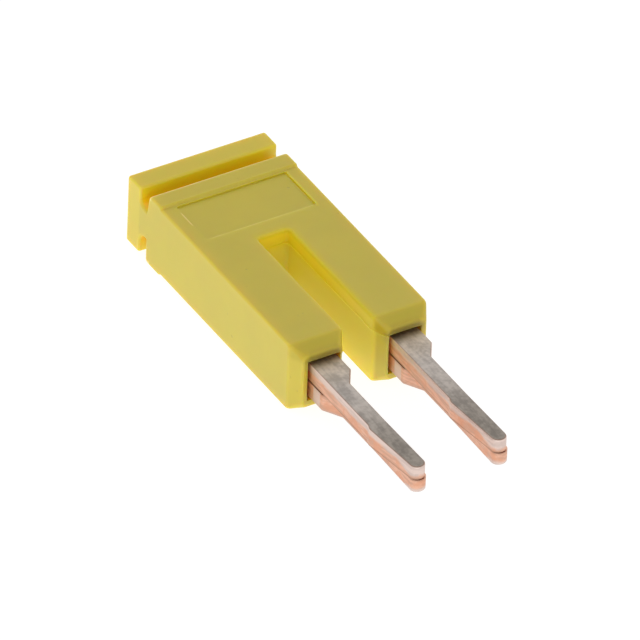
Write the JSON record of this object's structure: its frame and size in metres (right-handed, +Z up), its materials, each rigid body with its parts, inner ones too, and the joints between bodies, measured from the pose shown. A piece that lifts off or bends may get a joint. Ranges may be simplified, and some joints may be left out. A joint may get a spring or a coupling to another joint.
{
  "type": "shorting bar",
  "caption": "Plug-in shorting bar: moulded handle with head bar, grip grooves and label field, and flat contact prongs that bridge neighbouring terminals.",
  "frame": {"origin": "middle of the footprint, on the plane that the part lies on, which is the back of the raised collar", "axes": "+Y along the length, from the prong tips to the head bar; +Z up through the thickness, from the back face to the front face with the label field; +X across, from pole to pole"},
  "size_m": [0.0086, 0.0286, 0.0046],
  "materials": {
    "yellow_plastic": "satin moulded plastic, olive yellow",
    "tinned_copper": "rolled copper alloy with worn tin on the faces, salmon on the stamped edges"
  },
  "bodies": {
    "root": {"insulating_body": "yellow_plastic", "front_contact_comb": "tinned_copper", "rear_contact_comb": "tinned_copper"}
  },
  "joints": []
}
